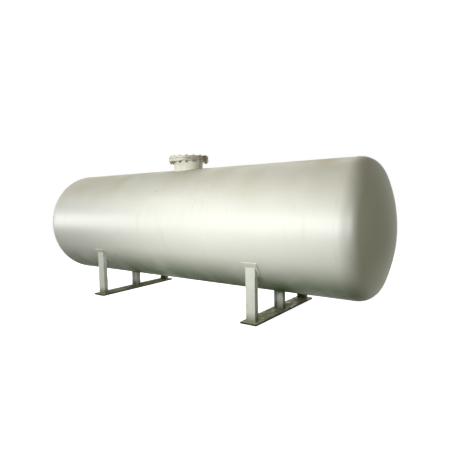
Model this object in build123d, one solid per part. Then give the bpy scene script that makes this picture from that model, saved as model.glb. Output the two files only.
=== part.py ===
# Horizontal cylindrical storage tank on two welded frames, with a bolted manhole on top.
# Millimetres. X runs along the tank, Z is up, and the origin is on the ground under its middle.
import os
from math import asin, degrees, radians, sqrt, tan

from build123d import *

# Vessel: three rolled plate courses closed by two dished ends
shell_outer_diameter = 1900.0
shell_wall = 6.0
shell_length = 5670.0
course_names = ("left", "middle", "right")
axis_height = 1270.0
head_wall = 8.0
head_crown_radius = 2050.0
head_knuckle_radius = 240.0
head_straight_flange = 15.0

# Manhole: a short pipe neck, a slip-on plate flange, a gasket and a blind cover
manhole_offset = -150.0
neck_outer_diameter = 508.0
neck_wall = 8.0
neck_face_setback = 6.0
flange_outer_diameter = 690.0
flange_thickness = 40.0
flange_face_height = 177.0
gasket_thickness = 3.0
gasket_bolt_clearance = 4.0
cover_thickness = 36.0
cover_edge_chamfer = 3.0
bolt_circle_diameter = 620.0
bolt_hole_diameter = 26.0
bolt_count = 16

# Frames: a flat base plate across the tank with three channel posts standing on it
frame_spacing = 3220.0
base_length = 1780.0
base_width = 260.0
base_thickness = 25.0
base_corner_radius = 6.0
post_setback = 72.0
channel_depth = 150.0
channel_flange_width = 75.0
channel_web = 5.4
channel_flange = 9.0
channel_slope_degrees = 6.0
channel_root_radius = 10.0
channel_toe_radius = 4.5

# Wear pads: plates rolled to the shell between it and each post
pad_thickness = 10.0
pad_side_margin = 48.0
pad_end_margin = 75.0
pad_corner_radius = 20.0

# Gaps and cuts
weld_root_gap = 0.3
cut_overrun = 40.0

shell_radius = shell_outer_diameter / 2
course_length = shell_length / len(course_names)
neck_radius = neck_outer_diameter / 2
neck_bore = neck_radius - neck_wall
flange_radius = flange_outer_diameter / 2
flange_top = axis_height + shell_radius + flange_face_height
flange_bottom = flange_top - flange_thickness
gasket_top = flange_top + gasket_thickness
pad_inner_radius = shell_radius + weld_root_gap
pad_outer_radius = pad_inner_radius + pad_thickness
coped_radius = pad_outer_radius + weld_root_gap
post_face = base_length / 2 - post_setback

vessel_axis = Plane(origin=(0, 0, axis_height), x_dir=(0, 1, 0), z_dir=(1, 0, 0))


def cylinder_along_tank(radius, x_low, x_high):
    """A solid cylinder on the tank's axis between two places along it."""
    disc = vessel_axis.offset(x_low) * Circle(radius)
    return extrude(disc, x_high - x_low, dir=(1, 0, 0))


def upright_cylinder(radius, z_low, z_high):
    """A solid cylinder on the manhole's axis between two heights."""
    disc = Pos(manhole_offset, 0, z_low) * Circle(radius)
    return extrude(disc, z_high - z_low)


def shell_course(index):
    """One rolled plate ring; the course under the manhole has its opening cut through."""
    x_low = -shell_length / 2 + index * course_length
    x_high = x_low + course_length
    outside = cylinder_along_tank(shell_radius, x_low, x_high)
    inside = cylinder_along_tank(shell_radius - shell_wall, x_low - cut_overrun, x_high + cut_overrun)
    course = outside - inside
    if x_low < manhole_offset < x_high:
        course -= upright_cylinder(neck_bore, axis_height, flange_top)
    return course


def head_profile(wall_offset):
    """The edges of a dished end in its half section, from its rim to its middle, at one wall face."""
    radius = shell_radius - wall_offset
    knuckle = head_knuckle_radius - wall_offset
    crown = head_crown_radius - wall_offset
    knuckle_offset = shell_radius - head_knuckle_radius
    centre_distance = head_crown_radius - head_knuckle_radius
    crown_centre = head_straight_flange - sqrt(centre_distance**2 - knuckle_offset**2)
    half_angle = degrees(asin(knuckle_offset / centre_distance))
    rim = Line((0, radius), (head_straight_flange, radius))
    turn = CenterArc((head_straight_flange, knuckle_offset), knuckle, 90, half_angle - 90)
    dish = CenterArc((crown_centre, 0), crown, half_angle, -half_angle)
    return rim, turn, dish


def dished_head(side):
    """A flanged and dished end, pressed from plate, on the left (-1) or right (+1) of the shell."""
    outer = head_profile(0)
    inner = head_profile(head_wall)
    middle = Line(outer[-1] @ 1, inner[-1] @ 1)
    lip = Line(inner[0] @ 0, outer[0] @ 0)
    section = make_face(list(outer) + [middle] + list(inner) + [lip])
    head = revolve(section, Axis.X)
    if side < 0:
        head = Rot(0, 0, 180) * head
    return Pos(side * shell_length / 2, 0, axis_height) * head


def bolt_holes(z_low, z_high):
    """The ring of bolt holes through the manhole's flange or cover, straddling its centre lines."""
    half_pitch = 180 / bolt_count
    ring = PolarLocations(bolt_circle_diameter / 2, bolt_count, start_angle=half_pitch)
    pattern = Pos(manhole_offset, 0, z_low - cut_overrun) * ring
    height = z_high - z_low + cut_overrun + cut_overrun
    return [place * extrude(Circle(bolt_hole_diameter / 2), height) for place in pattern]


def manhole_neck():
    """A pipe stub coped to sit on the shell round the opening, up into the flange."""
    top = flange_top - neck_face_setback
    stub = upright_cylinder(neck_radius, axis_height, top)
    stub -= upright_cylinder(neck_bore, axis_height - cut_overrun, top + cut_overrun)
    reach = neck_radius + cut_overrun
    return stub - cylinder_along_tank(pad_inner_radius, manhole_offset - reach, manhole_offset + reach)


def manhole_flange():
    """A plate ring slipped over the neck."""
    ring = upright_cylinder(flange_radius, flange_bottom, flange_top)
    bore = neck_radius + weld_root_gap
    ring -= upright_cylinder(bore, flange_bottom - cut_overrun, flange_top + cut_overrun)
    return ring - bolt_holes(flange_bottom, flange_top)


def manhole_gasket():
    """A flat sheet ring between the flange and the cover, inside the ring of bolts."""
    outside = (bolt_circle_diameter - bolt_hole_diameter) / 2 - gasket_bolt_clearance
    ring = upright_cylinder(outside, flange_top, gasket_top)
    return ring - upright_cylinder(neck_radius, flange_top - cut_overrun, gasket_top + cut_overrun)


def manhole_cover():
    """A blind plate over the opening, its edges broken by a small chamfer."""
    top = gasket_top + cover_thickness
    plate = upright_cylinder(flange_radius, gasket_top, top)
    plate = chamfer(plate.edges(), cover_edge_chamfer)
    return plate - bolt_holes(gasket_top, top)


def base_plate(x):
    """A flat plate on the ground, running across under the tank."""
    outline = Pos(x, 0, 0) * RectangleRounded(base_width, base_length, base_corner_radius)
    return extrude(outline, base_thickness)


def channel_section():
    """A rolled channel: its web's back on Y = 0, its two sloped flanges reaching along +Y."""
    half = channel_depth / 2
    slope = tan(radians(channel_slope_degrees))
    flange_middle = channel_flange_width / 2
    toe = channel_flange - (channel_flange_width - flange_middle) * slope
    root = channel_flange + (flange_middle - channel_web) * slope
    corners = (
        ((-half, 0), 0),
        ((half, 0), 0),
        ((half, channel_flange_width), 0),
        ((half - toe, channel_flange_width), channel_toe_radius),
        ((half - root, channel_web), channel_root_radius),
        ((root - half, channel_web), channel_root_radius),
        ((toe - half, channel_flange_width), channel_toe_radius),
        ((-half, channel_flange_width), 0),
    )
    points = [point for point, rounding in corners]
    roundings = [rounding for point, rounding in corners]
    return make_face(FilletPolyline(*points, radius=roundings, close=True))


def channel_post(x, web_y, opens):
    """A channel standing on the base plate, coped at its top to the pad's curve."""
    section = channel_section()
    if opens < 0:
        section = Rot(0, 0, 180) * section
    post = extrude(Pos(x, web_y, base_thickness) * section, axis_height - base_thickness)
    reach = channel_depth
    return post - cylinder_along_tank(coped_radius, x - reach, x + reach)


def wear_pad(x, y_low, y_high):
    """A rounded plate rolled to the shell, reaching past the post that stands below it."""
    margin = degrees(pad_end_margin / pad_outer_radius)
    start = degrees(asin(y_low / coped_radius)) - margin
    end = degrees(asin(y_high / coped_radius)) + margin
    width = channel_depth + pad_side_margin + pad_side_margin
    inner = CenterArc((0, 0), pad_inner_radius, start - 90, end - start)
    outer = CenterArc((0, 0), pad_outer_radius, start - 90, end - start)
    sides = [Line(inner @ 0, outer @ 0), Line(inner @ 1, outer @ 1)]
    profile = vessel_axis.offset(x - width / 2) * make_face([inner, outer] + sides)
    plate = extrude(profile, width, dir=(1, 0, 0))
    corners = plate.edges().filter_by(GeomType.LINE).filter_by(lambda edge: abs(edge.length - width) > width / 2)
    return fillet(corners, pad_corner_radius)


def post_places():
    """The three posts of a frame: each one's name, its web's back face and the way it opens."""
    middle_web = channel_flange_width / 2
    return (
        ("front", -post_face, 1),
        ("middle", middle_web, -1),
        ("rear", post_face, -1),
    )


def frame_pieces(side_name, x):
    """One frame: its base plate, and a post and a pad at the front, the middle and the rear."""
    pieces = {f"{side_name}_base_plate": base_plate(x)}
    for place, web_y, opens in post_places():
        y_low, y_high = sorted((web_y, web_y + opens * channel_flange_width))
        pieces[f"{side_name}_{place}_post"] = channel_post(x, web_y, opens)
        pieces[f"{side_name}_{place}_pad"] = wear_pad(x, y_low, y_high)
    return pieces


def tank_pieces():
    """Every piece of the tank by its name."""
    pieces = {f"shell_{name}_course": shell_course(index) for index, name in enumerate(course_names)}
    pieces["left_head"] = dished_head(-1)
    pieces["right_head"] = dished_head(1)
    pieces["manhole_neck"] = manhole_neck()
    pieces["manhole_flange"] = manhole_flange()
    pieces["manhole_gasket"] = manhole_gasket()
    pieces["manhole_cover"] = manhole_cover()
    pieces.update(frame_pieces("left", -frame_spacing / 2))
    pieces.update(frame_pieces("right", frame_spacing / 2))
    return pieces


os.makedirs("parts", exist_ok=True)
for name, shape in tank_pieces().items():
    export_step(shape, f"parts/{name}.step")
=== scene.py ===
from math import asin, cos, pi, radians, sin, sqrt, tan

import bmesh
import bpy
from mathutils import Matrix, Vector


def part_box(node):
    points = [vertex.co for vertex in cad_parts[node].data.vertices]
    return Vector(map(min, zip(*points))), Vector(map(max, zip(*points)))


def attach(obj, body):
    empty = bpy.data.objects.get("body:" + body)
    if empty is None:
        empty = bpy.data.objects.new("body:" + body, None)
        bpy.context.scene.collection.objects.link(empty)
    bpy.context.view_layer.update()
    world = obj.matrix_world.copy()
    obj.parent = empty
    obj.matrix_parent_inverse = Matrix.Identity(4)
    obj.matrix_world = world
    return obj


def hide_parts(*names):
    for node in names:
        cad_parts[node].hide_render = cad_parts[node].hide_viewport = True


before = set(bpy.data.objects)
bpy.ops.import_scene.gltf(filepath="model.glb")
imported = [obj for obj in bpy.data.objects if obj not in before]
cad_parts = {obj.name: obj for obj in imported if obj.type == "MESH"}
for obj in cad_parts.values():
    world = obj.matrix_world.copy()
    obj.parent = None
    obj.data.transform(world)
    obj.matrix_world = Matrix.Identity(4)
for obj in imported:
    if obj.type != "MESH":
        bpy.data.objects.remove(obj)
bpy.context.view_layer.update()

scene = bpy.context.scene
scene.view_settings.view_transform = "Standard"


# Tank paint: a pale grey-green enamel sprayed over primer on shell, heads and wear pads.
# It is semi-gloss, a little cloudy, dusty on top, grimy and darker with painted shade below, with rain
# streaks and specks.
def add_node(tree, kind, settings=None, values=None, links=None):
    """Place one node in a tree with its settings, its plain input values and its incoming links."""
    node = tree.nodes.new(kind)
    for key, value in (settings or {}).items():
        setattr(node, key, value)
    for socket, value in (values or {}).items():
        node.inputs[socket].default_value = value
    for socket, source in (links or {}).items():
        tree.links.new(source, node.inputs[socket])
    return node


def new_group(name, kind, inputs, outputs):
    """An empty node group with named sockets, and the outputs of its input node by name."""
    tree = bpy.data.node_groups.new(name, kind)
    for label, (socket_kind, value) in inputs.items():
        socket = tree.interface.new_socket(label, in_out="INPUT", socket_type=socket_kind)
        if value is not None:
            socket.default_value = value
    for label, socket_kind in outputs.items():
        tree.interface.new_socket(label, in_out="OUTPUT", socket_type=socket_kind)
    return tree, tree.nodes.new("NodeGroupInput").outputs


def close_group(tree, links):
    """Join the named results to a group's output node."""
    add_node(tree, "NodeGroupOutput", links=links)


def calculated(tree, operation, *terms):
    """One step of arithmetic on terms that are numbers or other nodes' outputs."""
    node = add_node(tree, "ShaderNodeMath", {"operation": operation})
    for index, term in enumerate(terms):
        if isinstance(term, float):
            node.inputs[index].default_value = term
        else:
            tree.links.new(term, node.inputs[index])
    return node.outputs[0]


def soft_step(tree, value, low, high):
    """A smooth rise from 0 to 1 as a value goes from low to high."""
    ranged = add_node(
        tree, "ShaderNodeMapRange", {"interpolation_type": "SMOOTHSTEP"},
        {"From Min": low, "From Max": high}, {"Value": value},
    )
    return ranged.outputs["Result"]


COLOR, FLOAT, INTEGER = "NodeSocketColor", "NodeSocketFloat", "NodeSocketInt"
VECTOR, GEOMETRY, MATERIAL = "NodeSocketVector", "NodeSocketGeometry", "NodeSocketMaterial"
WHITE = (1.0, 1.0, 1.0, 1.0)


def noise_mask(tree, scale, low, high, stretch=None, detail=4.0):
    """A soft 0 to 1 mask from noise on Object coordinates, between two levels of the noise."""
    place = add_node(tree, "ShaderNodeTexCoord").outputs["Object"]
    if stretch:
        mapped = add_node(tree, "ShaderNodeMapping", values={"Scale": stretch}, links={"Vector": place})
        place = mapped.outputs["Vector"]
    noise = add_node(tree, "ShaderNodeTexNoise", values={"Detail": detail}, links={"Vector": place})
    if isinstance(scale, float):
        noise.inputs["Scale"].default_value = scale
    else:
        tree.links.new(scale, noise.inputs["Scale"])
    return soft_step(tree, noise.outputs["Fac"], low, high)


def facing_mask(tree, direction, low, high):
    """A soft 0 to 1 mask of how far the surface faces one way, between two cosines."""
    normal = add_node(tree, "ShaderNodeNewGeometry").outputs["Normal"]
    facing = add_node(
        tree, "ShaderNodeVectorMath", {"operation": "DOT_PRODUCT"}, {1: direction}, {0: normal}
    )
    return soft_step(tree, facing.outputs["Value"], low, high)


def edge_mask(tree):
    """How near the surface is to a worn edge or a weld, from the piece's own attribute."""
    return add_node(tree, "ShaderNodeAttribute", {"attribute_name": "edge"}).outputs["Fac"]


def product(tree, *factors):
    """The factors multiplied together."""
    total = factors[0]
    for factor in factors[1:]:
        total = calculated(tree, "MULTIPLY", total, factor)
    return total


def mixed_color(tree, mask, under, over):
    """One colour laid over another by a mask, through the mix node's numbered colour sockets."""
    mix = add_node(
        tree, "ShaderNodeMix", {"data_type": "RGBA"}, links={0: mask, 6: under, 7: over}
    )
    return mix.outputs[2]


film_inputs = {
    "Color": (COLOR, WHITE), "Film Color": (COLOR, WHITE), "Gloss": (FLOAT, 0.2), "Scale": (FLOAT, 1.0),
    "Amount": (FLOAT, 0.1),
}
film_outputs = {"Color": COLOR, "Gloss": FLOAT, "Mask": FLOAT}


def film_group(name, masks, dullness=1.0):
    """A group that lays a film over a colour, and dulls its gloss, where all the masks agree."""
    tree, given = new_group(name, "ShaderNodeTree", film_inputs, film_outputs)
    mask = product(tree, given["Amount"], *masks(tree, given["Scale"]))
    color = mixed_color(tree, mask, given["Color"], given["Film Color"])
    kept_share = calculated(tree, "MULTIPLY_ADD", mask, -dullness, 1.0)
    gloss = product(tree, given["Gloss"], kept_share)
    close_group(tree, {"Color": color, "Gloss": gloss, "Mask": mask})
    return tree


up = (0, 0, 1)
down = (0, 0, -1)
speck_rim = 0.09
speck_core = 0.05
clean_share = 0.86


def cloud_masks(tree, scale):
    """Soft patches of uneven paint."""
    return [noise_mask(tree, scale, low=0.35, high=0.68, detail=5.0)]


def dust_masks(tree, scale):
    """Dust that settles on what faces up."""
    return [noise_mask(tree, scale, low=0.1, high=0.9), facing_mask(tree, up, low=0.1, high=1.0)]


def streak_masks(tree, scale):
    """Upright rain streaks in a few places, on the sides only."""
    upright = (1.0, 1.0, 0.06)
    return [
        noise_mask(tree, scale, low=0.52, high=0.74, stretch=upright, detail=3.0),
        noise_mask(tree, 1.3, low=0.4, high=0.62),
        facing_mask(tree, up, low=0.98, high=0.2),
        facing_mask(tree, up, low=-1.0, high=-0.2),
    ]


def grime_and_shade_masks(tree, scale):
    """Grime that clings to what faces down, with the shade under the tank painted in as well."""
    return [
        noise_mask(tree, scale, low=0.0, high=0.6, detail=6.0),
        facing_mask(tree, down, low=0.34, high=0.97),
    ]


def speck_masks(tree, scale):
    """One round speck in each of a few of the cells that divide the surface."""
    place = add_node(tree, "ShaderNodeTexCoord").outputs["Object"]
    cells = add_node(tree, "ShaderNodeTexVoronoi", links={"Vector": place, "Scale": scale})
    dots = add_node(
        tree, "ShaderNodeMapRange", values={"From Min": speck_rim, "From Max": speck_core},
        links={"Value": cells.outputs["Distance"]},
    )
    channels = add_node(tree, "ShaderNodeSeparateColor", links={"Color": cells.outputs["Color"]})
    few = calculated(tree, "GREATER_THAN", channels.outputs["Red"], clean_share)
    return [dots.outputs["Result"], few]


def chip_masks(tree, scale):
    """Sharp chips along stretches of the worn edges."""
    return [
        noise_mask(tree, scale, low=0.55, high=0.6, detail=6.0),
        noise_mask(tree, 3.0, low=0.42, high=0.6),
        edge_mask(tree),
    ]


def toe_masks(tree, scale):
    """Grime that gathers along edges and weld toes."""
    return [noise_mask(tree, scale, low=0.1, high=0.55), edge_mask(tree)]


paint_clouds = film_group("paint clouds", cloud_masks, dullness=0.0)
settled_dust = film_group("settled dust", dust_masks)
rain_streaks = film_group("rain streaks", streak_masks)
# The belly film is grime and also painted shade: it darkens what faces down towards a dark green.
belly_grime_and_shade = film_group("belly grime and shade", grime_and_shade_masks)
dark_specks = film_group("dark specks", speck_masks)
chipped_edges = film_group("chipped edges", chip_masks)
toe_grime = film_group("toe grime", toe_masks)

spray_grain, given = new_group(
    "spray grain", "ShaderNodeTree", {"Fine": (FLOAT, 300.0), "Coarse": (FLOAT, 40.0)}, {"Height": FLOAT}
)
grain_parts = [noise_mask(spray_grain, given[label], low=0.2, high=0.8) for label in ("Fine", "Coarse")]
close_group(spray_grain, {"Height": calculated(spray_grain, "ADD", *grain_parts)})
grain_depth = 0.0004
dusty_roughening = 0.3


def painted(name, color, films, roughness, specular, grain):
    """A finish: a base colour under its films, each a group with its colour, scale and amount.

    The last film is the dust, which also roughens the surface.
    """
    material = bpy.data.materials.new(name)
    material.use_nodes = True
    tree = material.node_tree
    shader = tree.nodes["Principled BSDF"]
    below = None
    for group, film_color, scale, amount in films:
        film = add_node(
            tree, "ShaderNodeGroup", {"node_tree": group},
            {
                "Color": (*color, 1.0), "Film Color": (*film_color, 1.0), "Gloss": specular,
                "Scale": scale, "Amount": amount,
            },
            {label: below.outputs[label] for label in ("Color", "Gloss")} if below else None,
        )
        below = film
    tree.links.new(below.outputs["Color"], shader.inputs["Base Color"])
    tree.links.new(below.outputs["Gloss"], shader.inputs["Specular IOR Level"])
    dulled = add_node(
        tree, "ShaderNodeMapRange", values={"To Min": roughness, "To Max": roughness + dusty_roughening},
        links={"Value": below.outputs["Mask"]},
    )
    tree.links.new(dulled.outputs["Result"], shader.inputs["Roughness"])
    height = add_node(tree, "ShaderNodeGroup", {"node_tree": spray_grain})
    bump = add_node(
        tree, "ShaderNodeBump", values={"Strength": grain, "Distance": grain_depth},
        links={"Height": height.outputs["Height"]},
    )
    tree.links.new(bump.outputs["Normal"], shader.inputs["Normal"])
    return material


tank_color = (0.75, 0.757, 0.695)
cool_cloud = (0.69, 0.715, 0.65)
dust_color = (0.60, 0.50, 0.25)
streak_color = (0.47, 0.45, 0.36)
# Dark and greenish: this paints the shade and the green bounce light under the tank, as well as grime.
grime_and_shade_color = (0.112, 0.165, 0.058)
speck_color = (0.12, 0.10, 0.07)
toe_color = (0.36, 0.365, 0.29)
rust_color = (0.19, 0.075, 0.03)
tank_paint = painted(
    "tank enamel", tank_color,
    [
        (paint_clouds, cool_cloud, 1.1, 0.35),
        (belly_grime_and_shade, grime_and_shade_color, 1.6, 1.0),
        (rain_streaks, streak_color, 11.0, 0.15),
        (dark_specks, speck_color, 5.0, 0.7),
        (toe_grime, toe_color, 9.0, 0.35),
        (settled_dust, dust_color, 2.2, 0.5),
    ],
    roughness=0.45, specular=0.26, grain=0.25,
)


# Shell: three rings of 6 mm carbon-steel plate, each rolled to a cylinder and butt-welded to the
# next. The manhole's opening is flame-cut through the top of the middle ring.
shell_wall = 0.006
shell_segments = 256
shell_step = 0.06
plate_wave_height = 0.0012
plate_wave_length = 0.55
opening_segments = 128
burner_reach = 1.0
seam_tolerance = 0.00002
crease_angle = radians(33)
along_tank = (0.0, pi / 2, 0.0)

shell_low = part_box("shell_left_course")[0]
shell_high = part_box("shell_right_course")[1]
shell_radius = (shell_high.y - shell_low.y) / 2
axis_height = (shell_high.z + shell_low.z) / 2
neck_low, neck_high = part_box("manhole_neck")
manhole_x = (neck_low.x + neck_high.x) / 2
neck_radius = (neck_high.x - neck_low.x) / 2
neck_wall = 0.008

turned_plate, given = new_group(
    "turned plate", "GeometryNodeTree",
    {
        "Section": (GEOMETRY, None),
        "Swing Radius": (FLOAT, 1.0),
        "Segments": (INTEGER, 64),
        "Centre": (VECTOR, (0, 0, 0)),
        "Turn": (VECTOR, (0, 0, 0)),
        "Wave Height": (FLOAT, 0.0),
        "Wave Length": (FLOAT, 1.0),
        "Seed": (FLOAT, 0.0),
        "Opening Radius": (FLOAT, 0.0),
        "Opening Foot": (VECTOR, (0, 0, 0)),
        "Finish": (MATERIAL, None),
    },
    {"Plate": GEOMETRY},
)
section_line = add_node(turned_plate, "GeometryNodeMeshToCurve", links={"Mesh": given["Section"]})
swing = add_node(
    turned_plate, "GeometryNodeCurvePrimitiveCircle",
    links={"Resolution": given["Segments"], "Radius": given["Swing Radius"]},
)
swept = add_node(
    turned_plate, "GeometryNodeCurveToMesh",
    links={"Curve": swing.outputs["Curve"], "Profile Curve": section_line.outputs["Curve"]},
)
joined = add_node(
    turned_plate, "GeometryNodeMergeByDistance", values={"Distance": seam_tolerance},
    links={"Geometry": swept.outputs["Mesh"]},
)
turn = add_node(turned_plate, "FunctionNodeEulerToRotation", links={"Euler": given["Turn"]})
laid = add_node(
    turned_plate, "GeometryNodeTransform",
    links={
        "Geometry": joined.outputs["Geometry"], "Translation": given["Centre"],
        "Rotation": turn.outputs["Rotation"],
    },
)
wave_scale = calculated(turned_plate, "DIVIDE", 1.0, given["Wave Length"])
waves = add_node(
    turned_plate, "ShaderNodeTexNoise", {"noise_dimensions": "4D"}, {"Detail": 1.0},
    {"W": given["Seed"], "Scale": wave_scale},
)
centred = add_node(
    turned_plate, "ShaderNodeVectorMath", {"operation": "SUBTRACT"}, {1: (0.5, 0.5, 0.5)},
    {0: waves.outputs["Color"]},
)
wave_offset = add_node(
    turned_plate, "ShaderNodeVectorMath", {"operation": "SCALE"},
    links={0: centred.outputs["Vector"], "Scale": given["Wave Height"]},
)
wavy = add_node(
    turned_plate, "GeometryNodeSetPosition",
    links={"Geometry": laid.outputs["Geometry"], "Offset": wave_offset.outputs["Vector"]},
)
burner = add_node(
    turned_plate, "GeometryNodeMeshCylinder",
    values={"Vertices": opening_segments, "Depth": burner_reach},
    links={"Radius": given["Opening Radius"]},
)
burner_place = add_node(
    turned_plate, "GeometryNodeTransform",
    links={"Geometry": burner.outputs["Mesh"], "Translation": given["Opening Foot"]},
)
opened = add_node(
    turned_plate, "GeometryNodeMeshBoolean", {"operation": "DIFFERENCE"},
    links={"Mesh 1": wavy.outputs["Geometry"], "Mesh 2": burner_place.outputs["Geometry"]},
)
has_opening = calculated(turned_plate, "GREATER_THAN", given["Opening Radius"], 0.0)
chosen = add_node(
    turned_plate, "GeometryNodeSwitch", {"input_type": "GEOMETRY"},
    links={
        "Switch": has_opening, "False": wavy.outputs["Geometry"], "True": opened.outputs["Mesh"],
    },
)
whole = add_node(
    turned_plate, "GeometryNodeRealizeInstances", links={"Geometry": chosen.outputs["Output"]}
)
finished = add_node(
    turned_plate, "GeometryNodeSetMaterial",
    links={"Geometry": whole.outputs["Geometry"], "Material": given["Finish"]},
)
close_group(turned_plate, {"Plate": finished.outputs["Geometry"]})


def line_mesh(name, loops, closed=True):
    """A mesh of edges only, through each list of points in turn."""
    mesh = bpy.data.meshes.new(name)
    points = []
    edges = []
    for loop in loops:
        start = len(points)
        points.extend(loop)
        edges.extend((index, index + 1) for index in range(start, len(points) - 1))
        if closed:
            edges.append((len(points) - 1, start))
    mesh.from_pydata(points, edges, [])
    return mesh


def grown(name, mesh, tree, values):
    """A new object whose plain mesh is what a node tree makes of a starting mesh."""
    piece = bpy.data.objects.new(name, mesh)
    scene.collection.objects.link(piece)
    modifier = piece.modifiers.new("shape", "NODES")
    modifier.node_group = tree
    for socket in tree.interface.items_tree:
        if socket.in_out == "INPUT" and socket.name in values:
            modifier[socket.identifier] = values[socket.name]
    graph = bpy.context.evaluated_depsgraph_get()
    made = bpy.data.meshes.new_from_object(piece.evaluated_get(graph), depsgraph=graph)
    piece.modifiers.remove(modifier)
    piece.data = made
    made.name = name
    return piece


def settle(piece, slot, *nodes):
    """Turn a finished piece's faces outwards, shade it, and let it ride in place of its solids."""
    shape = bmesh.new()
    shape.from_mesh(piece.data)
    bmesh.ops.recalc_face_normals(shape, faces=shape.faces)
    shape.to_mesh(piece.data)
    shape.free()
    piece.data.shade_smooth()
    piece.data.set_sharp_from_angle(angle=crease_angle)
    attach(piece, "root")
    if nodes:
        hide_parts(*nodes)


def turned(name, section, swing_radius, values):
    """A piece turned from its half section, given as (radius, place along the axis) points."""
    points = [(radius - swing_radius, -along, 0.0) for radius, along in section]
    values = {"Swing Radius": swing_radius, **values}
    return grown(name, line_mesh(name, [points]), turned_plate, values)


def spread(low, high, steps):
    """Evenly spaced values from low to high, both ends included."""
    return [low + (high - low) * step / steps for step in range(steps + 1)]


vessel_values = {
    "Segments": shell_segments, "Centre": (0, 0, axis_height), "Turn": along_tank,
    "Wave Height": plate_wave_height, "Wave Length": plate_wave_length, "Finish": tank_paint,
}
for course in ("left", "middle", "right"):
    node = f"shell_{course}_course"
    course_low, course_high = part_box(node)
    outer_places = spread(course_low.x, course_high.x, round((course_high.x - course_low.x) / shell_step))
    outline = [(shell_radius, x) for x in outer_places]
    outline += [(shell_radius - shell_wall, x) for x in reversed(outer_places)]
    values = dict(vessel_values)
    if course_low.x < manhole_x < course_high.x:
        values["Opening Radius"] = neck_radius - neck_wall
        values["Opening Foot"] = (manhole_x, 0, axis_height + shell_radius)
    ring = turned(f"painted_{node}", outline, shell_radius, values)
    settle(ring, "tank_paint", node)


# Heads: two dished ends pressed from 8 mm plate, a shallow crown rolling through a tight knuckle
# into a short straight flange. Each is butt-welded to the end of the shell.
head_wall = 0.008
head_crown_radius = 2.05
head_knuckle_radius = 0.24
head_straight_flange = 0.015
knuckle_steps = 18
crown_steps = 16

knuckle_offset = shell_radius - head_knuckle_radius
centre_distance = head_crown_radius - head_knuckle_radius
crown_centre = head_straight_flange - sqrt(centre_distance**2 - knuckle_offset**2)
crown_angle = asin(knuckle_offset / centre_distance)


def head_line(wall_offset):
    """The (radius, reach past the shell) points of a head's face, from its rim to its middle."""
    knuckle = head_knuckle_radius - wall_offset
    crown = head_crown_radius - wall_offset
    points = [(shell_radius - wall_offset, 0.0)]
    for angle in spread(pi / 2, crown_angle, knuckle_steps):
        points.append((knuckle_offset + knuckle * sin(angle), head_straight_flange + knuckle * cos(angle)))
    for angle in spread(crown_angle, 0.0, crown_steps)[1:]:
        points.append((crown * sin(angle), crown_centre + crown * cos(angle)))
    return points


for side, shell_end, outward in (("left", shell_low.x, -1), ("right", shell_high.x, 1)):
    face = head_line(0.0) + head_line(head_wall)[::-1]
    outline = [(radius, shell_end + outward * reach) for radius, reach in face]
    head = turned(f"painted_{side}_head", outline, shell_radius, vessel_values)
    settle(head, "tank_paint", f"{side}_head")


# Girth and long seams: butt welds run by machine round each joint of the vessel and along each
# rolled plate, their low rippled caps left on and painted over with the plate.
cap_half_width = 0.007
cap_rise = 0.0022
ripple_pitch = 0.009
ripple_samples = 3
bead_sides = 8
bead_full_size = 1.1
wander_scale = 18.0
seam_points = 360
long_seam_turns = {"left": radians(128), "middle": radians(152), "right": radians(128)}

weld_bead, given = new_group(
    "weld bead", "GeometryNodeTree",
    {
        "Path": (GEOMETRY, None),
        "Half Width": (FLOAT, 0.005),
        "Rise": (FLOAT, 0.005),
        "Pitch": (FLOAT, 0.006),
        "Ripple": (FLOAT, 0.16),
        "Unevenness": (FLOAT, 0.25),
        "Seed": (FLOAT, 0.0),
        "Finish": (MATERIAL, None),
    },
    {"Bead": GEOMETRY},
)
bead_line = add_node(weld_bead, "GeometryNodeMeshToCurve", links={"Mesh": given["Path"]})
bead_step = calculated(weld_bead, "DIVIDE", given["Pitch"], float(ripple_samples))
stepped = add_node(
    weld_bead, "GeometryNodeResampleCurve", {"mode": "LENGTH"},
    links={"Curve": bead_line.outputs["Curve"], "Length": bead_step},
)
travel = add_node(weld_bead, "GeometryNodeSplineParameter").outputs["Length"]
phase = calculated(weld_bead, "DIVIDE", travel, given["Pitch"])
sawtooth = calculated(weld_bead, "FRACT", phase)
ripple = calculated(weld_bead, "MULTIPLY", sawtooth, given["Ripple"])
wander = add_node(
    weld_bead, "ShaderNodeTexNoise", {"noise_dimensions": "4D"}, {"Scale": wander_scale, "Detail": 2.0},
    {"W": given["Seed"]},
)
unevenness = calculated(weld_bead, "MULTIPLY", wander.outputs["Fac"], given["Unevenness"])
swell = calculated(weld_bead, "ADD", ripple, unevenness)
bead_size = calculated(weld_bead, "SUBTRACT", bead_full_size, swell)
round_section = add_node(
    weld_bead, "GeometryNodeCurvePrimitiveCircle", values={"Resolution": bead_sides, "Radius": 1.0}
)
section_scale = add_node(
    weld_bead, "ShaderNodeCombineXYZ", values={"Z": 1.0}, links={"X": given["Half Width"], "Y": given["Rise"]}
)
bead_section = add_node(
    weld_bead, "GeometryNodeTransform",
    links={"Geometry": round_section.outputs["Curve"], "Scale": section_scale.outputs["Vector"]},
)
laid_bead = add_node(
    weld_bead, "GeometryNodeCurveToMesh", values={"Fill Caps": True},
    links={
        "Curve": stepped.outputs["Curve"], "Profile Curve": bead_section.outputs["Geometry"],
        "Scale": bead_size,
    },
)
whole_bead = add_node(
    weld_bead, "GeometryNodeRealizeInstances", links={"Geometry": laid_bead.outputs["Mesh"]}
)
painted_bead = add_node(
    weld_bead, "GeometryNodeSetMaterial",
    links={"Geometry": whole_bead.outputs["Geometry"], "Material": given["Finish"]},
)
close_group(weld_bead, {"Bead": painted_bead.outputs["Geometry"]})


def round_vessel(radius, x, turn):
    """The point on a circle round the vessel's axis, turned from the front over the top."""
    return Vector((x, -radius * cos(turn), axis_height + radius * sin(turn)))


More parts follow.
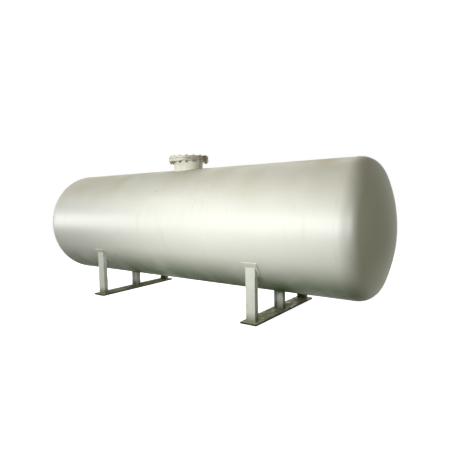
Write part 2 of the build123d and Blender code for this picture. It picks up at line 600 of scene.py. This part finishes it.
def bead(name, lines, half_width, rise, finish, seed=0.0, closed=True):
    """A rippled weld bead along each line of points."""
    values = {
        "Half Width": half_width, "Rise": rise, "Pitch": ripple_pitch, "Seed": seed, "Finish": finish,
    }
    return grown(name, line_mesh(name, lines, closed), weld_bead, values)


course_ends = [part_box(f"shell_{course}_course") for course in ("left", "middle", "right")]
seam_places = {
    "left_head_weld": course_ends[0][0].x,
    "left_girth_weld": course_ends[0][1].x,
    "right_girth_weld": course_ends[1][1].x,
    "right_head_weld": course_ends[2][1].x,
}
for number, (name, x) in enumerate(seam_places.items()):
    circle = [round_vessel(shell_radius, x, turn) for turn in spread(0, 2 * pi, seam_points)[:-1]]
    seam = bead(name, [circle], cap_half_width, cap_rise, tank_paint, float(number))
    settle(seam, "tank_paint")

long_lines = []
for turn, (low, high) in zip(long_seam_turns.values(), course_ends):
    long_lines.append([round_vessel(shell_radius, x, turn) for x in (low.x, high.x)])
long_seams = bead("long_seam_welds", long_lines, 2 * cap_rise, cap_rise, tank_paint, closed=False)
settle(long_seams, "tank_paint")


# Manhole neck: a short stub of 508 mm pipe, coped to the shell and welded round its foot. It runs
# up into the flange and stops just short of the flange's face.
neck_points = 144
neck_rows = 6
foot_bead = 0.008
foot_seed = 11.0

manhole_color = (0.735, 0.71, 0.605)
manhole_paint = painted(
    "manhole enamel", manhole_color,
    [
        (paint_clouds, cool_cloud, 4.0, 0.35),
        (belly_grime_and_shade, grime_and_shade_color, 5.0, 0.5),
        (rain_streaks, streak_color, 24.0, 0.5),
        (chipped_edges, rust_color, 45.0, 0.8),
        (settled_dust, dust_color, 6.0, 0.35),
    ],
    roughness=0.5, specular=0.2, grain=0.3,
)


def lofted(name, loops, weights, joined, finish):
    """A closed mesh through loops of points, its two ends joined to each other or capped."""
    mesh = bpy.data.meshes.new(name)
    count = len(loops[0])
    points = [point for loop in loops for point in loop]
    spans = len(loops) if joined else len(loops) - 1
    faces = []
    for row in range(spans):
        first = row * count
        second = (row + 1) % len(loops) * count
        for index in range(count):
            after = (index + 1) % count
            faces.append((first + index, first + after, second + after, second + index))
    if not joined:
        faces.append(tuple(range(count))[::-1])
        faces.append(tuple(range(len(points) - count, len(points))))
    mesh.from_pydata(points, [], faces)
    mesh.attributes.new("edge", "FLOAT", "POINT").data.foreach_set("value", weights)
    mesh.materials.append(finish)
    piece = bpy.data.objects.new(name, mesh)
    scene.collection.objects.link(piece)
    return piece


def saddle_height(radius, y):
    """How high a cylinder of this radius on the vessel's axis stands over a place across it."""
    return axis_height + sqrt(radius**2 - y**2)


def neck_ring(radius, share_up, foot_radius):
    """A loop round the neck, from the shell's curve at its foot to its level top."""
    ring = []
    for turn in spread(0, 2 * pi, neck_points)[:-1]:
        x = manhole_x + radius * cos(turn)
        y = radius * sin(turn)
        foot = saddle_height(foot_radius, y)
        ring.append((x, y, foot + (neck_high.z - foot) * share_up))
    return ring


neck_bore = neck_radius - neck_wall
shares = spread(0.0, 1.0, neck_rows)
neck_loops = [neck_ring(neck_radius, share, shell_radius) for share in shares]
neck_loops += [neck_ring(neck_bore, share, shell_radius) for share in reversed(shares)]
neck = lofted(
    "painted_manhole_neck", neck_loops, [0.0] * neck_points * len(neck_loops), True, manhole_paint
)
settle(neck, "manhole_paint", "manhole_neck")

foot_line = neck_ring(neck_radius, 0.0, shell_radius)
neck_weld = bead("manhole_foot_weld", [foot_line], foot_bead, foot_bead, tank_paint, foot_seed)
settle(neck_weld, "tank_paint")


# Manhole flange, gasket and cover: a plate ring welded on the neck, a dark sheet gasket inside
# the bolts, and a blind plate turned to the same edge. The edges are broken, and the rim's side
# towards the right end is darkened with rust stains and with painted shade.
plate_segments = 192
broken_edge = 0.003
gasket_edge = 0.0005
flange_bead = 0.006
collar_seed = 12.0
gasket_color = (0.035, 0.034, 0.032)
gasket_sheen = (0.075, 0.072, 0.066)
gasket_sheet = painted(
    "gasket sheet", gasket_color,
    [(paint_clouds, gasket_sheen, 30.0, 0.6), (settled_dust, dust_color, 20.0, 0.2)],
    roughness=0.8, specular=0.3, grain=0.5,
)


def rim_rust_and_shade_masks(tree, scale):
    """Rust stains and painted shade on what faces the right end, away from the key light."""
    rightwards = (1, 0, 0)
    return [
        noise_mask(tree, scale, low=0.2, high=0.62, detail=5.0),
        facing_mask(tree, rightwards, low=0.25, high=0.95),
    ]


# The rim film paints shade on the side away from the key light, on top of rust stains.
rim_rust_and_shade = film_group("rim rust and shade", rim_rust_and_shade_masks)
rim_rust_and_shade_color = (0.20, 0.15, 0.085)
rim_paint = painted(
    "rim enamel", manhole_color,
    [
        (paint_clouds, cool_cloud, 4.0, 0.3),
        (rain_streaks, streak_color, 24.0, 0.5),
        (rim_rust_and_shade, rim_rust_and_shade_color, 6.0, 0.85),
        (settled_dust, dust_color, 6.0, 0.35),
    ],
    roughness=0.5, specular=0.2, grain=0.3,
)


def plate_section(inner, outer, low, high, edge):
    """Half section of a flat round plate whose outer edges are broken; an inner radius of 0 is blind."""
    return [
        (inner, low), (outer - edge, low), (outer, low + edge), (outer, high - edge),
        (outer - edge, high), (inner, high),
    ]


for node, bore, edge, slot, finish in (
    ("manhole_flange", neck_radius, broken_edge, "manhole_paint", rim_paint),
    ("manhole_gasket", neck_radius, gasket_edge, "gasket_sheet", gasket_sheet),
    ("manhole_cover", 0.0, broken_edge, "manhole_paint", rim_paint),
):
    low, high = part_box(node)
    outer = (high.x - low.x) / 2
    plate = turned(
        f"finished_{node}", plate_section(bore, outer, low.z, high.z, edge), outer,
        {"Segments": plate_segments, "Centre": (manhole_x, 0, 0), "Finish": finish},
    )
    settle(plate, slot, node)

flange_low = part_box("manhole_flange")[0]
collar_line = [
    (manhole_x + neck_radius * cos(turn), neck_radius * sin(turn), flange_low.z)
    for turn in spread(0, 2 * pi, neck_points)[:-1]
]
collar_weld = bead(
    "manhole_collar_weld", [collar_line], flange_bead, flange_bead, manhole_paint, collar_seed
)
settle(collar_weld, "manhole_paint")


# Cover bolts: sixteen M24 bolts through cover and flange, straddling the centre lines. The washers
# and heads on top were sprayed over with the cover; the nuts and thread ends below are dull and rusty,
# their dark colour also painting the shade under the flange.
bolt_count = 16
bolt_circle = 0.310
bolt_radius = 0.012
across_flats = 0.036
head_height = 0.015
nut_height = 0.0215
washer_radius = 0.022
washer_height = 0.004
thread_stub = 0.008
thread_depth = 0.0012
thread_pitch = 0.003
hexagon_chamfer = 0.0018
chamfer_slope = 0.6
washer_sides = 24
thread_sides = 16
head_wear = 0.6
spin_seed = 4

# The nuts' dark colour is partly rusty steel and partly painted shade from under the flange.
nut_steel_and_shade_color = (0.24, 0.215, 0.165)
nut_rust = (0.17, 0.085, 0.04)
nut_steel = painted(
    "weathered nut steel with painted shade", nut_steel_and_shade_color,
    [
        (paint_clouds, nut_rust, 60.0, 0.7),
        (belly_grime_and_shade, grime_and_shade_color, 30.0, 0.3),
        (settled_dust, dust_color, 12.0, 0.3),
    ],
    roughness=0.55, specular=0.3, grain=0.4,
)


def prism(shape, sides, rings):
    """Add a closed prism on the Z axis to a shape, through rings given as (radius, height)."""
    loops = []
    for radius, height in rings:
        loop = []
        for side in range(sides):
            turn = 2 * pi * side / sides
            loop.append(shape.verts.new((radius * cos(turn), radius * sin(turn), height)))
        loops.append(loop)
    for lower, upper in zip(loops, loops[1:]):
        for index in range(sides):
            after = (index + 1) % sides
            shape.faces.new((lower[index], lower[after], upper[after], upper[index]))
    shape.faces.new(loops[0][::-1])
    shape.faces.new(loops[-1])


def hexagon(shape, low, high):
    """A bolt head or a nut, its corners chamfered at both faces."""
    corner = across_flats / sqrt(3)
    small = corner - hexagon_chamfer
    lift = hexagon_chamfer * chamfer_slope
    prism(shape, 6, [(small, low), (corner, low + lift), (corner, high - lift), (small, high)])


cover_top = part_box("manhole_cover")[1].z
head_bottom = cover_top + washer_height
nut_top = flange_low.z - washer_height
nut_bottom = nut_top - nut_height

head_shape = bmesh.new()
prism(head_shape, washer_sides, [(washer_radius, cover_top), (washer_radius, head_bottom)])
hexagon(head_shape, head_bottom, head_bottom + head_height)

nut_shape = bmesh.new()
prism(nut_shape, washer_sides, [(washer_radius, nut_top), (washer_radius, flange_low.z)])
hexagon(nut_shape, nut_bottom, nut_top)
stub_rings = [(bolt_radius - thread_depth, nut_bottom - thread_stub)]
for step in range(round(2 * thread_stub / thread_pitch)):
    groove = thread_depth * (step % 2)
    stub_rings.append((bolt_radius - groove, stub_rings[0][1] + (step + 0.5) * thread_pitch / 2))
stub_rings.append((bolt_radius, (nut_bottom + nut_top) / 2))
prism(nut_shape, thread_sides, stub_rings)

bolt_ring, given = new_group(
    "bolt ring", "GeometryNodeTree",
    {
        "Bolt": (GEOMETRY, None),
        "Count": (INTEGER, 8),
        "Circle Radius": (FLOAT, 0.1),
        "Centre": (VECTOR, (0, 0, 0)),
        "Turn": (VECTOR, (0, 0, 0)),
        "Seed": (INTEGER, 0),
        "Finish": (MATERIAL, None),
    },
    {"Bolts": GEOMETRY},
)
bolt_places = add_node(
    bolt_ring, "GeometryNodeMeshCircle", links={"Vertices": given["Count"], "Radius": given["Circle Radius"]}
)
first_turn = add_node(bolt_ring, "FunctionNodeEulerToRotation", links={"Euler": given["Turn"]})
centred_places = add_node(
    bolt_ring, "GeometryNodeTransform",
    links={
        "Geometry": bolt_places.outputs["Mesh"], "Translation": given["Centre"],
        "Rotation": first_turn.outputs["Rotation"],
    },
)
spin = add_node(
    bolt_ring, "FunctionNodeRandomValue", {"data_type": "FLOAT"}, links={"Seed": given["Seed"]}
)
# Input 3 and output 1 of the random node are the upper limit and the value of a plain number.
spin.inputs[3].default_value = 2 * pi
spin_vector = add_node(bolt_ring, "ShaderNodeCombineXYZ", links={"Z": spin.outputs[1]})
spin_turn = add_node(bolt_ring, "FunctionNodeEulerToRotation", links={"Euler": spin_vector.outputs["Vector"]})
bolts_placed = add_node(
    bolt_ring, "GeometryNodeInstanceOnPoints",
    links={
        "Points": centred_places.outputs["Geometry"], "Instance": given["Bolt"],
        "Rotation": spin_turn.outputs["Rotation"],
    },
)
bolts_real = add_node(
    bolt_ring, "GeometryNodeRealizeInstances", links={"Geometry": bolts_placed.outputs["Instances"]}
)
bolts_finished = add_node(
    bolt_ring, "GeometryNodeSetMaterial",
    links={"Geometry": bolts_real.outputs["Geometry"], "Material": given["Finish"]},
)
close_group(bolt_ring, {"Bolts": bolts_finished.outputs["Geometry"]})
bolt_values = {
    "Count": bolt_count, "Circle Radius": bolt_circle, "Centre": (manhole_x, 0, 0),
    "Turn": (0, 0, pi / bolt_count), "Seed": spin_seed,
}
for name, shape, finish in (
    ("cover_bolt_heads", head_shape, manhole_paint), ("cover_bolt_nuts", nut_shape, nut_steel),
):
    bolt_mesh = bpy.data.meshes.new(name)
    shape.to_mesh(bolt_mesh)
    shape.free()
    wear = bolt_mesh.attributes.new("edge", "FLOAT", "POINT")
    wear.data.foreach_set("value", [head_wear] * len(bolt_mesh.vertices))
    bolts = grown(name, bolt_mesh, bolt_ring, {**bolt_values, "Finish": finish})
    settle(bolts, "manhole_paint")


# Wear pads: plates rolled to the shell's curve and welded to it all round, one over each post, so
# that the posts never touch the vessel's own wall. Their corners are rounded.
pad_corner = 0.020
pad_corner_steps = 6
pad_edge = 0.0015
edge_steps = 2
edge_margin = 0.006
pad_bend_steps = 16
pad_bead = 0.004
bead_grime = 0.45


def corner_arc(before, corner, after, radius, steps):
    """Points round one corner of an outline, turned by an arc between its two straight runs."""
    if radius == 0:
        return [corner]
    back = (before - corner).normalized()
    ahead = (after - corner).normalized()
    half = back.angle(ahead) / 2
    centre = corner + (back + ahead).normalized() * radius / sin(half)
    start = corner + back * radius / tan(half) - centre
    way = 1 if back.cross(ahead) < 0 else -1
    turns = spread(0.0, way * (pi - 2 * half), steps)
    return [centre + Matrix.Rotation(turn, 2) @ start for turn in turns]


def rounded_outline(corners, steps):
    """Points round a polygon of (x, y, radius) corners, and each point's wear: 1 at the corners."""
    places = [Vector(corner[:2]) for corner in corners]
    arcs = []
    for index, corner in enumerate(corners):
        after = places[(index + 1) % len(places)]
        arcs.append(corner_arc(places[index - 1], places[index], after, corner[2], steps))
    points = []
    wear = []
    for arc, following in zip(arcs, arcs[1:] + arcs[:1]):
        points += arc
        wear += [1.0] * len(arc)
        run = following[0] - arc[-1]
        if run.length > 3 * edge_margin:
            step = run.normalized() * edge_margin
            points += [arc[-1] + step, following[0] - step]
            wear += [0.0, 0.0]
    return points, wear


def inset_outline(points, distance):
    """The outline moved inwards, for an outline that runs anticlockwise."""
    moved = []
    for index, point in enumerate(points):
        into = (point - points[index - 1]).normalized()
        out = (points[(index + 1) % len(points)] - point).normalized()
        first = Vector((-into.y, into.x))
        second = Vector((-out.y, out.x))
        moved.append(point + (first + second) * distance / (1 + first.dot(second)))
    return moved


def plate_loops(outline, wear, low, high, edge):
    """Loops up a flat plate from its outline, its top and bottom edges rounded over."""
    loops = []
    weights = []
    turns = spread(0.0, pi / 2, edge_steps)
    profile = [(edge + edge_margin, low, 0.0)]
    profile += [(edge * (1 - sin(turn)), low + edge * (1 - cos(turn)), 1.0) for turn in turns]
    profile += [(edge * (1 - cos(turn)), high - edge * (1 - sin(turn)), 1.0) for turn in turns]
    profile.append((edge + edge_margin, high, 0.0))
    for inset, height, loop_wear in profile:
        ring = inset_outline(outline, inset)
        loops.append([Vector((point.x, point.y, height)) for point in ring])
        weights.extend(max(loop_wear, point_wear * (inset <= edge)) for point_wear in wear)
    return loops, weights


def rounded_rectangle(low, high, corner, steps):
    """The outline of a flat rectangle between two corners, and its wear."""
    corners = [
        (low.x, low.y, corner), (high.x, low.y, corner), (high.x, high.y, corner), (low.x, high.y, corner),
    ]
    return rounded_outline(corners, steps)


def flat_plate(name, outline, wear, low, high, edge, divisions, finish):
    """A flat plate between two heights, its faces divided evenly along Y."""
    loops, weights = plate_loops(outline, wear, low, high, edge)
    piece = lofted(name, loops, weights, False, finish)
    ends = [point.y for point in outline]
    shape = bmesh.new()
    shape.from_mesh(piece.data)
    for cut in spread(min(ends), max(ends), divisions)[1:-1]:
        everything = list(shape.verts) + list(shape.edges) + list(shape.faces)
        bmesh.ops.bisect_plane(shape, geom=everything, plane_co=(0, cut, 0), plane_no=(0, 1, 0))
    shape.to_mesh(piece.data)
    shape.free()
    return piece


def under_vessel(reach, x, turn):
    """The point at a reach from the vessel's axis, turned from the bottom towards the back."""
    return Vector((x, reach * sin(turn), axis_height - reach * cos(turn)))


for side in ("left", "right"):
    for place in ("front", "middle", "rear"):
        node = f"{side}_{place}_pad"
        low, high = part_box(node)
        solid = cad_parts[node].data.vertices
        reaches = [Vector((vertex.co.y, vertex.co.z - axis_height)) for vertex in solid]
        pad_inner = min(reach.length for reach in reaches)
        pad_outer = max(reach.length for reach in reaches)
        turns = [asin(reach.x / reach.length) for reach in reaches]
        middle_turn = (min(turns) + max(turns)) / 2
        middle_x = (low.x + high.x) / 2
        corner = Vector(((high.x - low.x) / 2, (max(turns) - min(turns)) / 2 * pad_outer))
        outline, wear = rounded_rectangle(-corner, corner, pad_corner, pad_corner_steps)
        pad = flat_plate(
            f"painted_{node}", outline, wear, pad_inner, pad_outer, pad_edge, pad_bend_steps, tank_paint
        )
        for vertex in pad.data.vertices:
            x, y, reach = vertex.co
            vertex.co = under_vessel(reach, middle_x + x, middle_turn + y / pad_outer)
        settle(pad, "tank_paint", node)
        seam_line = [
            under_vessel(shell_radius, middle_x + point.x, middle_turn + point.y / pad_outer)
            for point in outline
        ]
        pad_weld = bead(f"{node}_weld", [seam_line], pad_bead, pad_bead, tank_paint, middle_x + middle_turn)
        toes = pad_weld.data.attributes.new("edge", "FLOAT", "POINT")
        toes.data.foreach_set("value", [bead_grime] * len(pad_weld.data.vertices))
        settle(pad_weld, "tank_paint")


# Posts: lengths of rolled steel channel, 150 by 75, standing on the base plates, coped at the top
# to the pads and welded there and at the foot. Brushed with the tank's colour, chipped at edges.
channel_depth = 0.150
channel_flange_width = 0.075
channel_web = 0.0054
channel_flange = 0.009
channel_slope = radians(6)
channel_root = 0.010
channel_toe = 0.0045
channel_heel = 0.0015
channel_corner_steps = 4
post_bead = 0.005
splash_top = 0.18
splash_full = 0.02
foot_shadow_top = 0.0252
foot_shadow_full = 0.021

frame_color = (0.67, 0.70, 0.625)
dull_cloud = (0.50, 0.535, 0.46)
splash_color = (0.203, 0.216, 0.143)
foot_shadow_color = (0.02, 0.019, 0.014)


def low_mask(tree, top, full):
    """A soft mask that grows from a height over the ground down to a lower one."""
    place = add_node(tree, "ShaderNodeTexCoord").outputs["Object"]
    height = add_node(tree, "ShaderNodeSeparateXYZ", links={"Vector": place}).outputs["Z"]
    return soft_step(tree, height, top, full)


def splash_masks(tree, scale):
    """Dirt that rain splashes up from the ground."""
    return [
        noise_mask(tree, scale, low=0.0, high=0.55, detail=6.0),
        low_mask(tree, splash_top, splash_full),
    ]


def foot_shadow_masks(tree, scale):
    """A painted black shadow along the lowest edges of the base plates, patchy with noise."""
    return [noise_mask(tree, scale, low=0.0, high=0.5), low_mask(tree, foot_shadow_top, foot_shadow_full)]


ground_splash = film_group("ground splash", splash_masks)
# The foot film paints the dark shadow under the base plates' edges onto the plates themselves.
foot_shadow = film_group("foot shadow", foot_shadow_masks)
frame_paint = painted(
    "frame enamel", frame_color,
    [
        (paint_clouds, dull_cloud, 3.0, 0.5),
        (rain_streaks, streak_color, 26.0, 0.35),
        (ground_splash, splash_color, 9.0, 1.0),
        (foot_shadow, foot_shadow_color, 7.0, 0.95),
        (chipped_edges, rust_color, 38.0, 0.85),
        (settled_dust, dust_color, 5.0, 0.3),
    ],
    roughness=0.52, specular=0.17, grain=0.35,
)


def channel_outline():
    """The channel's section, its web's back on Y = 0 and its flanges along +Y, with its wear."""
    half = channel_depth / 2
    middle = channel_flange_width / 2
    toe = channel_flange - (channel_flange_width - middle) * tan(channel_slope)
    root = channel_flange + (middle - channel_web) * tan(channel_slope)
    corners = [
        (-half, 0.0, channel_heel), (half, 0.0, channel_heel),
        (half, channel_flange_width, 0.0), (half - toe, channel_flange_width, channel_toe),
        (half - root, channel_web, channel_root), (root - half, channel_web, channel_root),
        (toe - half, channel_flange_width, channel_toe), (-half, channel_flange_width, 0.0),
    ]
    return rounded_outline(corners, channel_corner_steps)


channel_points, channel_wear = channel_outline()
for side in ("left", "right"):
    for place in ("front", "middle", "rear"):
        node = f"{side}_{place}_post"
        low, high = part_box(node)
        middle_x = (low.x + high.x) / 2
        opens, web_y = (1, low.y) if place == "front" else (-1, high.y)
        section = [(middle_x + opens * point.x, web_y + opens * point.y) for point in channel_points]
        foot_loop = [(x, y, low.z) for x, y in section]
        top_loop = [(x, y, axis_height - sqrt(pad_outer**2 - y**2)) for x, y in section]
        post = lofted(f"painted_{node}", [foot_loop, top_loop], channel_wear * 2, False, frame_paint)
        settle(post, "frame_paint", node)
        post_weld = bead(
            f"{node}_welds", [foot_loop, top_loop], post_bead, post_bead, frame_paint, middle_x + web_y
        )
        settle(post_weld, "frame_paint")


# Base plates: flat bars laid across under the tank, one to a frame, on which the posts stand.
# Their edges are sawn and lightly rounded, the ground splashes dirt on them, and a black shadow is painted
# along their lowest edges.
base_corner = 0.006
base_corner_steps = 4
base_edge = 0.002
base_divisions = 24

for side in ("left", "right"):
    node = f"{side}_base_plate"
    low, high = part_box(node)
    outline, wear = rounded_rectangle(low, high, base_corner, base_corner_steps)
    base = flat_plate(
        f"painted_{node}", outline, wear, low.z, high.z, base_edge, base_divisions, frame_paint
    )
    settle(base, "frame_paint", node)


# Floor and backdrop: a pale studio floor that runs off to white. The eye, reflections and glass
# see it white with the tank's soft shadow, and it throws a dim, slightly green light back up.
floor_half_size = 60.0
floor_drop = 0.0004
shadow_reach = 4.5
shadow_fade = 9.0
floor_glow = 0.86
floor_white = (0.9, 0.9, 0.9, 1.0)
floor_bounce = (0.085, 0.10, 0.045, 1.0)

floor_mesh = bpy.data.meshes.new("floor")
floor_corners = [(-1, -1), (1, -1), (1, 1), (-1, 1)]
floor_mesh.from_pydata(
    [(x * floor_half_size, y * floor_half_size, -floor_drop) for x, y in floor_corners], [], [(0, 1, 2, 3)]
)
floor = bpy.data.objects.new("floor", floor_mesh)
scene.collection.objects.link(floor)


def seen_directly(tree):
    """1 for rays from the camera, off glossy surfaces and through glass, and 0 for soft bounces."""
    path = add_node(tree, "ShaderNodeLightPath").outputs
    either = calculated(tree, "MAXIMUM", path["Is Camera Ray"], path["Is Glossy Ray"])
    return calculated(tree, "MAXIMUM", either, path["Is Transmission Ray"])


def mixed_shader(tree, factor, first, second):
    """Two shaders mixed by a factor, the second at 1."""
    mix = add_node(tree, "ShaderNodeMixShader", links={0: factor, 1: first, 2: second})
    return mix.outputs["Shader"]


floor_material = bpy.data.materials.new("studio floor")
floor_material.use_nodes = True
tree = floor_material.node_tree
tree.nodes.clear()
pale = add_node(tree, "ShaderNodeBsdfDiffuse", values={"Color": floor_white})
glow = add_node(tree, "ShaderNodeEmission", values={"Strength": floor_glow})
near_floor = add_node(
    tree, "ShaderNodeAddShader", links={0: pale.outputs["BSDF"], 1: glow.outputs["Emission"]}
)
far_floor = add_node(tree, "ShaderNodeEmission", values={"Strength": 1.0})
floor_place = add_node(tree, "ShaderNodeTexCoord").outputs["Object"]
distance = add_node(tree, "ShaderNodeVectorMath", {"operation": "LENGTH"}, links={0: floor_place})
farness = soft_step(tree, distance.outputs["Value"], shadow_reach, shadow_fade)
seen_floor = mixed_shader(tree, farness, near_floor.outputs["Shader"], far_floor.outputs["Emission"])
dim_floor = add_node(tree, "ShaderNodeBsdfDiffuse", values={"Color": floor_bounce})
floor_shader = mixed_shader(tree, seen_directly(tree), dim_floor.outputs["BSDF"], seen_floor)
add_node(tree, "ShaderNodeOutputMaterial", links={"Surface": floor_shader})
floor_mesh.materials.append(floor_material)


# Light: a key from the left and soft boxes in front, over the rear, at the right end and behind, in
# a faint warm fill. Three gridded lamps only gloss the paint, which makes the bright band along the
# tank. The background is plain white.
fill_color = (1.0, 0.97, 0.65, 1.0)
fill_strength = 0.09
rear_color = (1.0, 0.93, 0.8)
right_color = (1.0, 0.93, 0.5)
back_color = (1.0, 0.99, 0.97)
tank_middle = (0, 0, 1.25)


def area_lamp(name, place, aim, size, watts, color=(1.0, 1.0, 1.0), fan=180, gloss_only=False):
    """A flat lamp, unseen by the camera, whose light fans out over an angle in degrees."""
    lamp = bpy.data.lights.new(name, "AREA")
    lamp.shape = "RECTANGLE"
    lamp.size, lamp.size_y = size
    lamp.spread = radians(fan)
    lamp.energy = watts
    lamp.color = color
    holder = bpy.data.objects.new(name, lamp)
    holder.location = place
    holder.rotation_euler = (Vector(aim) - Vector(place)).to_track_quat("-Z", "Y").to_euler()
    holder.visible_camera = False
    holder.visible_diffuse = not gloss_only
    scene.collection.objects.link(holder)


area_lamp("left_key", (-9.0, -7.0, 8.0), tank_middle, (6.0, 3.0), 600)
area_lamp("front_soft_box", (1.25, -4.2, 1.8), (1.25, 0, 1.25), (3.6, 0.9), 117)
area_lamp(
    "left_gloss_strip", (-13.0, -8.0, 2.4), (-6.4, -3.5, 2.4), (3.4, 3.9), 205, fan=60, gloss_only=True
)
area_lamp(
    "right_gloss_strip", (3.0, -8.0, 2.85), (4.0, -0.5, 2.85), (10.8, 2.9), 510, fan=100, gloss_only=True
)
area_lamp(
    "end_gloss_box", (10.5, -6.5, 2.7), (2.9, -0.9, 1.8), (4.5, 2.6), 200, fan=50, gloss_only=True
)
area_lamp("rear_soft_box", (-1.5, 4.0, 6.0), (-0.5, 0, 1.0), (6.0, 2.0), 128, rear_color)
area_lamp("right_soft_box", (8.0, -1.0, 2.5), (2.8, 0, 1.3), (2.0, 2.0), 15, right_color)
area_lamp("back_soft_box", (-2.5, 9.0, 2.8), tank_middle, (5.0, 2.0), 520, back_color)

world = bpy.data.worlds.new("studio")
world.use_nodes = True
scene.world = world
tree = world.node_tree
tree.nodes.clear()
fill = add_node(tree, "ShaderNodeBackground", values={"Color": fill_color, "Strength": fill_strength})
backdrop = add_node(tree, "ShaderNodeBackground", values={"Color": WHITE, "Strength": 1.0})
surround = mixed_shader(
    tree, seen_directly(tree), fill.outputs["Background"], backdrop.outputs["Background"]
)
add_node(tree, "ShaderNodeOutputWorld", links={"Surface": surround})


# Camera: a hand-held view from the front right at eye height, as in the photograph, its horizon
# turned by a degree.
camera_place = (4.5557, -5.3636, 1.6875)
camera_yaw = radians(36.3676)
camera_pitch = radians(-3.5727)
camera_roll = radians(-1.0794)
camera_lens = 32.387
camera_sensor = 36.0
camera_data = bpy.data.cameras.new("camera")
camera_data.sensor_width = camera_sensor
camera_data.lens = camera_lens
camera = bpy.data.objects.new("camera", camera_data)
camera.matrix_world = (
    Matrix.Translation(camera_place)
    @ Matrix.Rotation(camera_yaw, 4, "Z")
    @ Matrix.Rotation(pi / 2 + camera_pitch, 4, "X")
    @ Matrix.Rotation(camera_roll, 4, "Z")
)
scene.collection.objects.link(camera)
scene.camera = camera
